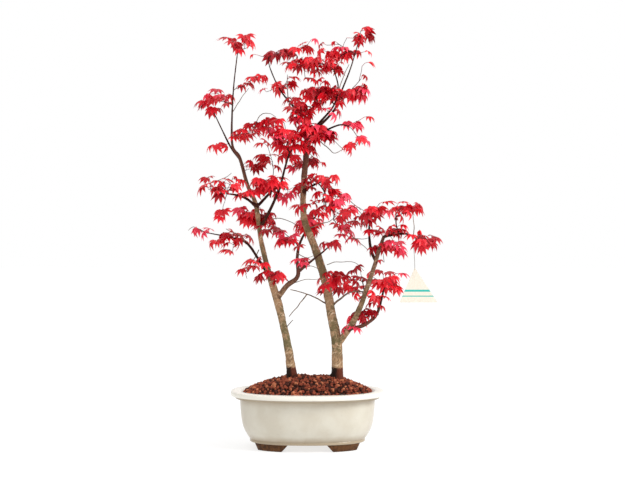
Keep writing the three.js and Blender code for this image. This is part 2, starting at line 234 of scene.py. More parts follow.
class Tone:
    """A value, vector or colour on its way through the nodes of a finish."""

    def __init__(self, tree, socket):
        self.tree = tree
        self.socket = socket

    def make(self, kind, settings=None, inputs=None, output=0):
        """Adds a node of that kind, set first and then fed, and gives what comes out of it."""
        node = self.tree.nodes.new("ShaderNode" + kind)
        for name, value in (settings or {}).items():
            setattr(node, name, value)
        for name, value in (inputs or {}).items():
            if isinstance(value, Tone):
                self.tree.links.new(value.socket, node.inputs[name])
            else:
                node.inputs[name].default_value = value
        return Tone(self.tree, node.outputs[output])

    def maths(self, operation, *values):
        """One sum on numbers, by a Math node."""
        return self.make("Math", {"operation": operation}, dict(enumerate(values)))

    def __add__(self, other):
        return self.maths("ADD", self, other)

    def __radd__(self, other):
        return self.maths("ADD", other, self)

    def __sub__(self, other):
        return self.maths("SUBTRACT", self, other)

    def __rsub__(self, other):
        return self.maths("SUBTRACT", other, self)

    def __mul__(self, other):
        return self.maths("MULTIPLY", self, other)

    def __rmul__(self, other):
        return self.maths("MULTIPLY", other, self)

    def __truediv__(self, other):
        return self.maths("DIVIDE", self, other)

    def __abs__(self):
        return self.maths("ABSOLUTE", self)

    def part(self, axis):
        """One part of this vector: X, Y or Z."""
        return self.make("SeparateXYZ", None, {0: self}, axis)

    def between(self, low, high):
        """0 where this is low or less, 1 where it is high or more, and smooth in between."""
        settings = {"interpolation_type": "SMOOTHSTEP"}
        inputs = {"Value": self, "From Min": low, "From Max": high}
        return self.make("MapRange", settings, inputs)

    def mix(self, first, second):
        """The first colour where this is 0, and the second where it is 1."""
        settings = {"data_type": "RGBA", "clamp_factor": True}
        return self.make("Mix", settings, {0: self, 6: first, 7: second}, 2)

    def stretch(self, x, y, z):
        """This vector, each part of it multiplied by its own number."""
        return self.make("VectorMath", {"operation": "MULTIPLY"}, {0: self, 1: (x, y, z)})

    def grain(self, scale, detail, roughness=0.5):
        """Cloudy noise, from 0 to 1, that repeats itself about scale times a unit."""
        inputs = {"Vector": self, "Scale": scale, "Detail": detail, "Roughness": roughness}
        return self.make("TexNoise", None, inputs)

    def cells(self, scale):
        """How far each place is from the middle of its cell."""
        return self.make("TexVoronoi", None, {"Vector": self, "Scale": scale})

    def relief(self, distance, strength):
        """A normal that this height tips, at distance metres for a height of 1."""
        inputs = {"Height": self, "Distance": distance, "Strength": strength}
        return self.make("Bump", None, inputs)


def new_finish(name):
    """A new material, with where a point of the piece lies, and its shader."""
    material = bpy.data.materials.new(name)
    material.use_nodes = True
    tree = material.node_tree
    where = tree.nodes.new("ShaderNodeTexCoord")
    return material, Tone(tree, where.outputs["Object"]), tree.nodes["Principled BSDF"]


def paint(shader, **values):
    """Sets or links the shader's sockets, an underscore standing for a space."""
    for name, value in values.items():
        socket = shader.inputs[name.replace("_", " ")]
        if isinstance(value, Tone):
            value.tree.links.new(value.socket, socket)
        else:
            socket.default_value = value


IVORY = (0.60, 0.565, 0.475, 1)
WARM_IVORY = (0.55, 0.505, 0.41, 1)
# Beige of the thin glaze, also painted as shade.
THIN_GLAZE_AND_SHADE = (0.33, 0.25, 0.155, 1)
# Paler ivory painted on the lip's top as a highlight.
LIP_HIGHLIGHT_IVORY = (0.78, 0.75, 0.665, 1)
IRON_SPECK = (0.16, 0.09, 0.045, 1)
# Where the thin glaze, the painted shade and the lip's painted highlight start and end, in
# metres up the pot's side, and out from its middle to its ends.
FOOT_BAND_ENDS = (0.014, 0.030)
UNDER_LIP_STARTS, UNDER_LIP_ENDS = (0.074, 0.087), (0.0872, 0.0876)
STEPS_START, STEPS_END = (0.0866, 0.0872), (0.0915, 0.0925)
LIP_STARTS = (0.0905, 0.0925)
POT_ENDS, POT_ENDS_TOP = (0.088, 0.122), (0.088, 0.090)
glaze, place, shader = new_finish("ivory_glaze")
height = place.part("Z")
clouds = place.grain(26, 3)
drift = (place.grain(60, 2) - 0.5) * 0.006
# Thin glaze at the foot band, with painted shade over the belly's underside above it.
foot_band = 1 - (height + drift).between(*FOOT_BAND_ENDS)
# Painted shade under the lip.
painted_shade_under_lip = (height + drift).between(*UNDER_LIP_STARTS) * (1 - height.between(*UNDER_LIP_ENDS))
# Thin glaze on the steps, with painted shade in their grooves.
steps = height.between(*STEPS_START) * (1 - height.between(*STEPS_END))
# Painted shade at the oval's two ends, below the lip.
painted_shade_at_ends = abs(place.part("X") + drift).between(*POT_ENDS) * (1 - height.between(*POT_ENDS_TOP))
# Thin glaze and painted shade, mixed in as one beige.
thin_glaze_and_shade = foot_band * 0.9 + painted_shade_under_lip * 0.5 + steps * 0.75 + painted_shade_at_ends * 0.35
specks = (1 - place.cells(520).between(0.10, 0.20)) * place.grain(90, 1).between(0.52, 0.62)
colour = clouds.between(0.35, 0.7).mix(IVORY, WARM_IVORY)
colour = thin_glaze_and_shade.mix(colour, THIN_GLAZE_AND_SHADE)
# The lip's top painted paler, as a highlight.
colour = height.between(*LIP_STARTS).mix(colour, LIP_HIGHLIGHT_IVORY)
colour = (specks * 0.55).mix(colour, IRON_SPECK)
ripple = place.grain(110, 2) * 0.6 + place.grain(420, 1) * 0.15
paint(
    shader,
    Base_Color=colour,
    Roughness=0.24 + clouds * 0.16,
    Coat_Weight=0.25,
    Coat_Roughness=0.12,
    Normal=ripple.relief(0.0007, 0.5),
)
pot.data.materials.append(glaze)
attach(pot, "root")
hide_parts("pot")

# ---- feet of the pot ----
# Four low feet luted under the pot along its oval, of the same clay but left bare, fired
# dark brown, with their edges worn round.
FEET = ("foot_front_left", "foot_front_right", "foot_back_left", "foot_back_right")
FOOT_ROUNDING = 1.3
# The tops of the feet lie above this height, and are drawn up to meet the pot's underside.
FOOT_TOPS_ABOVE = 11
FOOT_TOP_RAISE = 0.9
CLAY_DARK = (0.052, 0.019, 0.005, 1)
CLAY_BROWN = (0.125, 0.050, 0.014, 1)
clear_selection()
for name in FEET:
    foot = frame["nodes"][name].copy()
    foot.data = foot.data.copy()
    foot.parent = None
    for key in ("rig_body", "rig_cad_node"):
        del foot[key]
    scene.collection.objects.link(foot)
    foot.select_set(True)
    bpy.context.view_layer.objects.active = foot
bpy.ops.object.join()
feet = bpy.context.object
feet.name = "pot_feet"
feet.data.materials.clear()
bpy.ops.object.mode_set(mode="EDIT")
bpy.ops.mesh.select_all(action="SELECT")
bpy.ops.mesh.remove_doubles(threshold=1e-5)
bpy.ops.mesh.dissolve_limited(angle_limit=math.radians(4))
bpy.ops.object.mode_set(mode="OBJECT")
for vert in feet.data.vertices:
    if vert.co.z > FOOT_TOPS_ABOVE * MM:
        vert.co.z += FOOT_TOP_RAISE * MM
refine(
    feet, "BEVEL", width=FOOT_ROUNDING * MM, segments=3,
    limit_method="ANGLE", angle_limit=math.radians(40),
)
smooth_shade(feet, 50)
clay, place, shader = new_finish("bare_brown_clay")
mottle = place.grain(140, 4)
paint(
    shader,
    Base_Color=mottle.between(0.3, 0.75).mix(CLAY_DARK, CLAY_BROWN),
    Specular_IOR_Level=0.2,
    Roughness=0.42 + mottle * 0.25,
    Normal=place.grain(900, 3).relief(0.0004, 0.6),
)
feet.data.materials.append(clay)
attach(feet, "root")
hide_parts(*FEET)

# ---- soil ----
# Hard red-brown grains of bonsai soil, a few millimetres across, heaped by hand into a low
# mound round the feet of the trunks. A bed of the same soil fills the gaps under them,
# painted near-black as the shade between the grains.
SOIL_HALF = (112.65, 78.65)
SOIL_EDGE = 97
MOUND_RISE = 26
MOUND_POWER = 2.5
# A small heap tops the mound between the trunks.
HEAP_PLACE = (-7, -5)
HEAP_RISE = 4.5
HEAP_SPREAD = 150
LEFT_FOOT, RIGHT_FOOT = (-27, 6), (52, -6)
BED_RINGS = 14
RING_WIDTH = 5.2
BED_DROP = 3.4
BED_ROUGHNESS = 1.6
# The bed's colours, far darker than the grains, are painted shade between them.
BED_SHADE_DARK = (0.012, 0.005, 0.003, 1)
BED_SHADE_BROWN = (0.075, 0.026, 0.014, 1)


def oval_sum(x, y):
    """0 in the middle of the soil and 1 at its edge, by the oval's own rule."""
    return abs(x / SOIL_HALF[0]) ** OVAL_POWER + abs(y / SOIL_HALF[1]) ** OVAL_POWER


def mound_height(x, y):
    """The soil's height over a place in the pot, in millimetres."""
    share = min(oval_sum(x, y) ** (1 / OVAL_POWER), 1)
    turn = math.atan2(y, x)
    swell = 0.06 * math.sin(3 * turn + 1) * math.sin(math.pi * share)
    off_heap = (x - HEAP_PLACE[0]) ** 2 + (y - HEAP_PLACE[1]) ** 2
    heap = HEAP_RISE * math.exp(-off_heap / HEAP_SPREAD)
    return SOIL_EDGE + MOUND_RISE * (1 - share**MOUND_POWER + swell) + heap


clear_selection()
bpy.ops.mesh.primitive_circle_add(vertices=64, radius=1, fill_type="NGON")
bed = bpy.context.object
bed.name = "soil_bed"
for vert, (x, y) in zip(bed.data.vertices, oval_points(64, *SOIL_HALF), strict=True):
    vert.co = (x * MM, y * MM, 0)
bpy.ops.object.mode_set(mode="EDIT")
bpy.ops.mesh.select_all(action="SELECT")
for _ in range(BED_RINGS):
    bpy.ops.mesh.inset(thickness=RING_WIDTH * MM)
bpy.ops.object.mode_set(mode="OBJECT")
for vert in bed.data.vertices:
    x, y = vert.co.x / MM, vert.co.y / MM
    rough = BED_ROUGHNESS * noise.noise(Vector((x, y, 0)) * 0.16)
    vert.co.z = (mound_height(x, y) - BED_DROP + rough) * MM
smooth_shade(bed, 60)
# Painted shade in the gaps between the grains.
painted_shade_bed, place, shader = new_finish("painted_shade_soil_bed")
crumbs = place.cells(300)
paint(
    shader,
    Base_Color=crumbs.between(0.1, 0.6).mix(BED_SHADE_BROWN, BED_SHADE_DARK),
    Roughness=0.92,
    Normal=(1 - crumbs).relief(0.002, 0.8),
)
bed.data.materials.append(painted_shade_bed)
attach(bed, "root")
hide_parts("soil")


def shape_of(piece):
    """A mesh as its points, in an array, and its faces."""
    points = np.array([v.co for v in piece.data.vertices], float).reshape(-1, 3)
    return points, [tuple(face.vertices) for face in piece.data.polygons]


def joined(name, parts):
    """One mesh of many small ones, each an array of points in millimetres and its faces."""
    points, faces, count = [], [], 0
    for part_points, part_faces in parts:
        points.append(part_points)
        faces.extend(tuple(i + count for i in face) for face in part_faces)
        count += len(part_points)
    mesh = bpy.data.meshes.new(name)
    mesh.from_pydata((np.concatenate(points) * MM).tolist(), [], faces)
    piece = bpy.data.objects.new(name, mesh)
    scene.collection.objects.link(piece)
    return piece


GRAIN_SEED = 11
PEBBLE_KINDS = 6
PEBBLE_ROUNDNESS = 0.62
PEBBLE_HALF_WIDTH = 0.62
GRAINS_REACH = 0.955
GRAIN_SPACING = 4.4
GRAIN_TRIES = 26000
GRAIN_SIZES = (2.3, 4.3)
GRAIN_LIFTS = (-1.5, 0.6)
# Grains are heaped a little higher round the trunks.
HEAPED_WITHIN = 16
HEAPED_LIFT = 0.8
# Each kind of grain: its pale and its deep colour, and its share of them all.
GRAINS = {
    "grains_brown": ((0.30, 0.068, 0.033, 1), (0.16, 0.034, 0.017, 1), 0.56),
    "grains_dark": ((0.075, 0.018, 0.010, 1), (0.028, 0.007, 0.004, 1), 0.26),
    "grains_light": ((0.55, 0.19, 0.090, 1), (0.36, 0.105, 0.050, 1), 0.18),
}


def scatter(rng, spacing, tries):
    """Places on the soil, each at least spacing millimetres from the others."""
    grid, places = {}, []
    for _ in range(tries):
        x = rng.uniform(-SOIL_HALF[0], SOIL_HALF[0])
        y = rng.uniform(-SOIL_HALF[1], SOIL_HALF[1])
        if oval_sum(x, y) > GRAINS_REACH:
            continue
        cell = (int(x // spacing), int(y // spacing))
        near = (
            other
            for i in (-1, 0, 1)
            for j in (-1, 0, 1)
            for other in grid.get((cell[0] + i, cell[1] + j), ())
        )
        if all(math.hypot(x - a, y - b) >= spacing for a, b in near):
            grid.setdefault(cell, []).append((x, y))
            places.append((x, y))
    return places


grain_rng = random.Random(GRAIN_SEED)
pebbles = []
for number in range(PEBBLE_KINDS):
    clear_selection()
    bpy.ops.mesh.primitive_cube_add(size=2)
    pebble = bpy.context.object
    bpy.ops.object.mode_set(mode="EDIT")
    bpy.ops.mesh.subdivide(number_cuts=1)
    bpy.ops.transform.tosphere(value=PEBBLE_ROUNDNESS)
    bpy.ops.object.mode_set(mode="OBJECT")
    points, faces = shape_of(pebble)
    for index, point in enumerate(points):
        bump = noise.noise(Vector(point) * 0.9 + Vector((number * 7.3, 0, 0)))
        points[index] = point * (1 + 0.34 * bump)
    pebbles.append((points * PEBBLE_HALF_WIDTH, faces))
    bpy.data.objects.remove(pebble)

heaps = {name: [] for name in GRAINS}
grain_shares = [share for pale, deep, share in GRAINS.values()]
for x, y in scatter(grain_rng, GRAIN_SPACING, GRAIN_TRIES):
    points, faces = grain_rng.choice(pebbles)
    size = grain_rng.uniform(*GRAIN_SIZES)
    turn = Euler([grain_rng.uniform(0, 2 * math.pi) for _ in range(3)]).to_matrix()
    stretch = np.array([grain_rng.uniform(0.8, 1.25) for _ in range(3)])
    near_foot = min(math.hypot(x - a, y - b) for a, b in (LEFT_FOOT, RIGHT_FOOT))
    lift = grain_rng.uniform(*GRAIN_LIFTS) + (HEAPED_LIFT if near_foot < HEAPED_WITHIN else 0)
    spot = np.array([x, y, mound_height(x, y) + lift])
    kind = grain_rng.choices(list(GRAINS), grain_shares)[0]
    heaps[kind].append(((points * stretch * size) @ np.array(turn).T + spot, faces))
for name, (pale, deep, _) in GRAINS.items():
    grains = joined(name, heaps[name])
    smooth_shade(grains, 32)
    baked_clay, place, shader = new_finish(name + "_clay")
    dust = place.grain(700, 3)
    paint(
        shader,
        Base_Color=dust.between(0.35, 0.65).mix(deep, pale),
        Roughness=0.82,
        Specular_IOR_Level=0.2,
        Normal=place.grain(1800, 2).relief(0.0004, 0.7),
    )
    grains.data.materials.append(baked_clay)
    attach(grains, "root")
    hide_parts("soil")

# ---- trunks and boughs ----
# Two young maple trunks rise side by side, with their boughs: wood under a thin bark, tan
# with olive patches and fine cross wrinkles low down, dark and maroon where it is young.
# Each limb is given by places along its middle, in millimetres, each with its radius.
LIMBS = {
    "left_trunk": [
        (-26, 6, 104, 13), (-26, 6, 110, 12.4), (-28, 6, 130, 9.6), (-33, 6, 168, 7.5),
        (-42, 7, 211, 6.9), (-54, 8, 260, 7.3), (-69, 9, 309, 5.2), (-82, 12, 362, 4.5),
        (-91, 16, 424, 4.2), (-106, 20, 459, 3.6), (-120, 26, 507, 3.2), (-133, 28, 529, 2.5),
        (-134, 30, 578, 1.8), (-131, 34, 637, 1.4), (-124, 40, 702, 1.1),
    ],
    "bough_left_inner_back": [
        (-51, 8, 262, 4.8), (-36, 2, 282, 4.7), (-17, -8, 299, 4.0), (-18, -4, 331, 2.9),
        (-12, 16, 360, 2.4), (6, 30, 392, 1.9), (20, 36, 412, 1.3),
    ],
    "bough_left_crossing": [
        (-14, -9, 308, 2.7), (11, -22, 329, 2.0), (25, -28, 340, 1.6), (43, -36, 356, 1.2),
    ],
    "bough_left_low_back": [
        (-70, 9, 302, 3), (-88, 24, 330, 2.6), (-108, 40, 356, 2.2), (-136, 66, 366, 1.8),
        (-182, 92, 375, 1.2),
    ],
    "bough_left_inner_front": [
        (-82, 14, 386, 3.2), (-64, 2, 418, 2.8), (-48, -16, 454, 2.4), (-39, -30, 486, 2),
        (-30, -40, 515, 1.4),
    ],
    "bough_left_fork": [(-90, 16, 420, 3), (-73, 5, 437, 2.6), (-58, -10, 452, 1.8)],
    "bough_left_side_front": [
        (-91, 16, 421, 3), (-106, 0, 434, 2.4), (-123, -18, 440, 2), (-140, -34, 442, 1.4),
    ],
    "bough_left_high_back": [
        (-119, 26, 504, 2.3), (-136, 38, 526, 1.9), (-153, 50, 559, 1.4), (-168, 58, 590, 1.1),
    ],
    "right_trunk": [
        (52, -6, 104, 12.8), (52, -6, 110, 12.2), (52, -6, 130, 10.5), (52, -6, 160, 9.9),
        (50, -6, 191, 9.3), (41, -3, 236, 8.2), (33, 0, 283, 7.6), (15, 0, 343, 7.1),
        (-6, 0, 401, 5.6), (-6, 0, 467, 5.4), (-1, 2, 523, 5.4), (1, 3, 553, 4.8),
    ],
    "bough_right_main": [
        (50, -6, 176, 5.6), (67, -14, 200, 5.9), (81, -26, 224, 5.4), (94, -42, 256, 4.6),
        (105, -54, 289, 4.2), (115, -62, 321, 3.8), (123, -70, 349, 3.4), (130, -74, 369, 2.8),
    ],
    "bough_right_tip": [
        (130, -74, 368, 2.8), (150, -78, 372, 2.4), (170, -80, 372, 1.8), (186, -80, 364, 1.2),
    ],
    "bough_right_inward": [
        (117, -63, 325, 3), (109, -54, 344, 2.7), (106, -46, 372, 2.2), (107, -44, 404, 1.4),
    ],
    "bough_right_low": [
        (74, -20, 208, 3.8), (98, -14, 214, 3.4), (120, 2, 230, 3), (130, 20, 256, 2.4),
        (136, 32, 278, 1.6),
    ],
    "bough_centre_front": [(-6, 0, 446, 3), (4, -16, 454, 2.4), (22, -36, 462, 1.6)],
    "bough_right_high_front": [
        (2, 3, 537, 2.7), (32, -22, 552, 2.0), (56, -42, 560, 1.6), (72, -54, 556, 1.1),
    ],
    "leader_left": [
        (-1, 3, 546, 3.5), (-8, 8, 573, 3.0), (-26, 20, 599, 2.2), (-49, 36, 629, 1.6),
        (-67, 48, 669, 1.2), (-70, 51, 690, 1.0),
    ],
    "leader_middle": [
        (2, 2, 549, 2.8), (25, -10, 571, 2.2), (46, -24, 596, 1.7), (53, -34, 626, 1.4),
        (44, -36, 660, 1.1),
    ],
    "leader_right": [
        (3, 4, 548, 3.0), (24, 14, 566, 2.6), (47, 26, 592, 2.1), (61, 32, 628, 1.7),
        (75, 30, 663, 1.4), (86, 24, 698, 1.1), (92, 19, 722, 1.0),
    ],
    "leader_front": [
        (0, 0, 546, 3.4), (4, -8, 575, 3.0), (12, -20, 598, 2.4), (15, -30, 618, 1.4),
    ],
}
# How young each limb's bark looks at its foot and at its tip, from tan 0 to maroon 1.
YOUTH = {
    "left_trunk": (0, 0.75),
    "bough_left_inner_back": (0.16, 0.9),
    "bough_left_crossing": (0.45, 0.9),
    "right_trunk": (0, 0.75),
    "bough_right_main": (0.02, 0.35),
    "bough_right_low": (0.4, 0.8),
}
# Every other limb's bark is young all along.
YOUNG_LIMB = (0.7, 1.0)
# The trunks' bark turns young from this height up, over this length.
TRUNK_YOUNG_FROM = 400
TRUNK_YOUNG_OVER = 190
# Ridges of root that run out from the trunks' feet: the foot's place, the bearing in degrees,
# the reach, the rise up the trunk and the radius.
ROOTS = (
    (LEFT_FOOT, 215, 12, 6, 3.4), (LEFT_FOOT, 20, 13, 6, 3.6), (LEFT_FOOT, 120, 13, 7, 3.2),
    (LEFT_FOOT, 300, 11, 5, 3.0), (RIGHT_FOOT, 184, 24, 15, 4.0), (RIGHT_FOOT, 330, 15, 7, 4.0),
    (RIGHT_FOOT, 60, 15, 9, 3.6), (RIGHT_FOOT, 255, 14, 6, 3.4),
)
LIMB_STEP = 3
BARK_VOXEL = 0.85
# The radius, in millimetres, from which a limb's bark has its full relief.
FULL_RELIEF_RADIUS = 7


def along(stations, step):
    """A smooth line through the stations, as places and radii about step apart."""
    knots = [Vector(s) for s in stations]
    knots = [2 * knots[0] - knots[1], *knots, 2 * knots[-1] - knots[-2]]
    line = []
    for a, b, c, d in zip(knots, knots[1:], knots[2:], knots[3:]):
        count = max(2, round((c - b).xyz.length / step))
        for i in range(count):
            t = i / count
            line.append(0.5 * (
                2 * b + (c - a) * t + (2 * a - 5 * b + 4 * c - d) * t**2
                + (3 * b - a - 3 * c + d) * t**3
            ))
    line.append(knots[-2])
    return [(Vector(p[:3]), max(p[3], 0.3)) for p in line]


def tubes(name, lines, resolution=3):
    """One mesh of round tubes, each along a line of places and radii in millimetres."""
    curve = bpy.data.curves.new(name, "CURVE")
    curve.dimensions = "3D"
    curve.bevel_depth = 1.0
    curve.bevel_resolution = resolution
    curve.use_fill_caps = True
    for line in lines:
        spline = curve.splines.new("POLY")
        spline.points.add(len(line) - 1)
        for point, (spot, radius) in zip(spline.points, line, strict=True):
            point.co = (*(spot * MM), 1)
            point.radius = radius * MM
    piece = bpy.data.objects.new(name, curve)
    scene.collection.objects.link(piece)
    select_only(piece)
    bpy.ops.object.convert(target="MESH")
    return bpy.context.object


middles = {name: along(stations, LIMB_STEP) for name, stations in LIMBS.items()}


def root_line(foot, bearing, reach, rise, radius):
    """A root's ridge: out of the trunk, down to the soil and under it."""
    turn = math.radians(bearing)
    out = Vector((math.cos(turn), math.sin(turn), 0))
    base = Vector((*foot, 0))
    ground = mound_height(*foot)
    return along([
        (*(base + out + Vector((0, 0, ground + rise))), radius * 0.9),
        (*(base + out * reach * 0.42 + Vector((0, 0, ground + rise * 0.34))), radius),
        (*(base + out * reach * 0.75 + Vector((0, 0, ground - 1))), radius * 0.85),
        (*(base + out * reach + Vector((0, 0, ground - 6))), radius * 0.6),
    ], LIMB_STEP)


def bark_tree(name, limbs, trunk_foot):
    """The limbs grown together in one skin, with the relief and the data of their bark."""
    roots = [root_line(*root) for root in ROOTS if root[0] == trunk_foot]
    piece = tubes(name, [middles[limb] for limb in limbs] + roots)
    refine(piece, "REMESH", mode="VOXEL", voxel_size=BARK_VOXEL * MM, use_smooth_shade=True)
    refine(piece, "SMOOTH", factor=0.5, iterations=4)
    samples = []
    for limb in limbs:
        line = middles[limb]
        last = len(line) - 1
        foot_tone, tip_tone = YOUTH.get(limb, YOUNG_LIMB)
        for index, (spot, radius) in enumerate(line):
            ahead = line[min(index + 1, last)][0] - line[max(index - 1, 0)][0]
            share = index / last
            if limb.endswith("trunk"):
                share = min(max((spot.z - TRUNK_YOUNG_FROM) / TRUNK_YOUNG_OVER, 0), 1)
            tone = foot_tone + (tip_tone - foot_tone) * share
            samples.append((spot, ahead.normalized(), radius, index * LIMB_STEP, tone))
    tree = KDTree(len(samples))
    for index, sample in enumerate(samples):
        tree.insert(sample[0], index)
    tree.balance()
    mesh = piece.data
    normals = [v.normal.copy() for v in mesh.vertices]
    grain = np.zeros((len(mesh.vertices), 3), np.float32)
    tones = np.zeros(len(mesh.vertices), np.float32)
    for vert, normal in zip(mesh.vertices, normals, strict=True):
        spot = vert.co / MM
        middle, way, radius, length, tone = samples[tree.find(spot)[1]]
        out = spot - middle
        up = out.dot(way)
        out -= way * up
        side = way.cross(Vector((0.3, 1, 0.1))).normalized()
        turn = math.atan2(out.dot(side), out.dot(way.cross(side)))
        where = Vector((math.cos(turn) * radius, math.sin(turn) * radius, length + up))
        strength = min(radius / FULL_RELIEF_RADIUS, 1)
        streak = noise.noise(Vector((where.x * 0.75, where.y * 0.75, where.z * 0.13)))
        wrinkle = noise.noise(Vector((where.x * 0.16, where.y * 0.16, where.z * 0.62)))
        lump = noise.noise(spot * 0.075)
        rise = -0.42 * max(streak - 0.12, 0) + 0.34 * wrinkle + 0.75 * lump
        vert.co += normal * rise * strength * MM
        grain[vert.index] = where
        tones[vert.index] = tone
    mesh.attributes.new("grain", "FLOAT_VECTOR", "POINT").data.foreach_set("vector", grain.ravel())
    mesh.attributes.new("youth", "FLOAT", "POINT").data.foreach_set("value", tones)
    mesh.update()
    return piece


TAN_BARK = (0.47, 0.305, 0.175, 1)
BROWN_BARK = (0.24, 0.145, 0.078, 1)
OLIVE_BARK = (0.150, 0.132, 0.062, 1)
PALE_WRINKLE = (0.70, 0.54, 0.37, 1)
DARK_CRACK = (0.050, 0.028, 0.014, 1)
RED_BARK = (0.125, 0.050, 0.034, 1)
YOUNG_BARK = (0.032, 0.0045, 0.0045, 1)
YOUNG_OLIVE = (0.054, 0.021, 0.012, 1)
# Near-black for the left side of the wet foot, painted shade.
WET_BARK_SHADE = (0.008, 0.0025, 0.0018, 1)
WET_RED = (0.098, 0.017, 0.007, 1)
# Heights, in metres, between which the trunks' wet feet end and their other colours start.
WET_ENDS = (0.1385, 0.1415)
OLIVE_STARTS = (0.155, 0.175)
BROWN_STARTS = (0.17, 0.24)
bark, place, shader = new_finish("maple_bark")
grain = place.make("Attribute", {"attribute_name": "grain"}, None, "Vector")
youth = place.make("Attribute", {"attribute_name": "youth"}, None, "Fac")
facing, across, upward = (grain.part(axis) for axis in "XYZ")
sway = grain.stretch(0.05, 0.05, 0.05).grain(1, 1) * 30
climb = (upward + across * 0.45 + sway) * 0.42
slant = grain.make("CombineXYZ", None, {0: facing * 0.06, 1: across * 0.06, 2: climb})
bands = grain.stretch(0.03, 0.03, 0.042).grain(1, 2, 0.5)
flecks = grain.stretch(0.35, 0.35, 0.22).grain(1, 3, 0.6)
long_streaks = grain.stretch(0.8, 0.8, 0.13).grain(0.9, 3)
cross_lines = slant.grain(1, 2, 0.5)
height = place.part("Z")
colour = (bands * 0.6 + flecks * 0.4).between(0.44, 0.56).mix(TAN_BARK, BROWN_BARK)
olive = (bands + (flecks - 0.5) * 0.2).between(0.47, 0.54) * height.between(*OLIVE_STARTS)
colour = (olive * 0.85).mix(colour, OLIVE_BARK)
colour = (height.between(*BROWN_STARTS) * 0.38).mix(colour, BROWN_BARK)
reddish = (youth + (flecks - 0.5) * 0.3).between(0.02, 0.42)
colour = reddish.mix(colour, RED_BARK)
young = place.grain(90, 3).between(0.42, 0.62).mix(YOUNG_BARK, YOUNG_OLIVE)
colour = (youth + (flecks - 0.5) * 0.4).between(0.42, 0.80).mix(colour, young)
pale = cross_lines.between(0.60, 0.64) * (1 - youth.between(0.05, 0.5)) * (1 - olive * 0.7)
colour = (pale * 0.8).mix(colour, PALE_WRINKLE)
colour = ((1 - cross_lines.between(0.34, 0.42)) * 0.3).mix(colour, DARK_CRACK)
colour = (long_streaks.between(0.57, 0.68) * 0.3).mix(colour, DARK_CRACK)
damp = 1 - (height + (flecks - 0.5) * 0.012).between(*WET_ENDS)
# The wet foot is red-brown, and its left side is painted near-black as shade.
wet_and_shaded = (across + (flecks - 0.5) * 6).between(-5, 0.5).mix(WET_RED, WET_BARK_SHADE)
colour = (damp * 0.97).mix(colour, wet_and_shaded)
paint(
    shader,
    Base_Color=colour,
    Roughness=0.80 - damp * 0.2,
    Specular_IOR_Level=0.12,
    Normal=(cross_lines * 0.6 + long_streaks * 0.4).relief(0.0014, 0.8),
)
LEFT_LIMBS = [name for name in LIMBS if "left" in name and name != "leader_left"]
RIGHT_LIMBS = [name for name in LIMBS if name not in LEFT_LIMBS]
for name, limbs, trunk_foot in (
    ("bark_left_tree", LEFT_LIMBS, LEFT_FOOT),
    ("bark_right_tree", RIGHT_LIMBS, RIGHT_FOOT),
):
    wood = bark_tree(name, limbs, trunk_foot)
    wood.data.materials.append(bark)
    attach(wood, "root")
    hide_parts(*(limb for limb in limbs if limb in frame["nodes"]))

# ---- twigs ----
# Every mass of foliage hangs on fine twigs that fork out of the boughs. Each twig is grown
# from the nearest wood to a spray's place by one rule with seeded chance, and is thicker the
# more sprays it feeds.
FOLIAGE = sorted(name for name in frame["nodes"] if name.startswith("foliage_"))
LEAVES_PER_CUBIC_CM = 0.25
LEAVES_PER_SPRAY = 3.3
# A spray sets out with this many leaves, and those that fall too far outside its mass drop.
FULL_SPRAY = 4
# Where a mass carries more leaves than most for its size, or fewer.
FULLNESS = {
    "foliage_centre_high": 3.0, "foliage_centre_back": 2.2, "foliage_left_inner": 2.3,
    "foliage_trunk_right_low": 0.4, "foliage_right_lowest": 1.6, "foliage_trunk_mid": 1.9,
    "foliage_centre_left_front": 1.2, "foliage_right_outer": 1.4, "foliage_right_top": 1.3,
    "foliage_top_right": 1.3, "foliage_left_fork": 1.55, "foliage_left_side": 0.75,
    "foliage_far_right": 0.6, "foliage_top_left": 0.65, "foliage_left_high_outer": 0.47,
    "foliage_right_high": 0.5, "foliage_far_left": 0.35, "foliage_right_low": 0.65,
    "foliage_left_lowest": 0.85, "foliage_left_mid": 0.7, "foliage_left_low": 0.68,
    "foliage_top_front": 1.3, "foliage_centre_low": 0.7, "foliage_left_stem": 0.66,
    "foliage_left_high_inner": 0.4, "foliage_trunk_left": 0.8, "foliage_left_small": 0.45,
    "foliage_upper_centre": 1.15, "foliage_top_back": 0.9, "foliage_top_tip": 0.5,
    "foliage_leader_left": 0.7, "foliage_right_inner": 0.75, "foliage_right_mid": 1.15,
}
# Sprays that hang on their own between the masses, and leaves that stand alone.
OPEN_SPRAYS = (
    (-6, -30, 518), (40, -50, 352), (121, -52, 378), (97, -38, 278), (37, -30, 581),
    (-6, -42, 421), (-69, 4, 525), (-90, -8, 444), (100, -50, 398), (-3, -22, 456),
    (144, -60, 377), (-65, -6, 380), (-47, 30, 635), (-23, -10, 608), (-6, -14, 326),
    (81, -8, 212), (-88, 22, 652), (-30, -24, 509), (91, -34, 310),
    (44, -20, 301), (67, -18, 295), (35, -24, 279), (-168, -32, 464),
    (94, 18, 731), (-113, 40, 725), (-160, 48, 624),
)
LONE_LEAVES = (
    (1, 20, 708), (34, 0, 703), (52, 0, 707), (69, 0, 716), (-84, 44, 690), (94, 10, 691),
    (96, 14, 668), (94, 16, 646), (62, -42, 517), (92, -50, 569),
    (190, -78, 377), (-73, 24, 624), (83, -60, 417), (-32, -20, 449),
    (18, -20, 496), (132, -40, 324),
)
TREE_SEED = 88
# Leafy twigs leave the wood above this height, and only where it is thinner than this radius.
LOWEST_TWIG = 235
TWIG_BEARING_RADIUS = 6.6
TWIG_TIP_RADIUS = 0.48
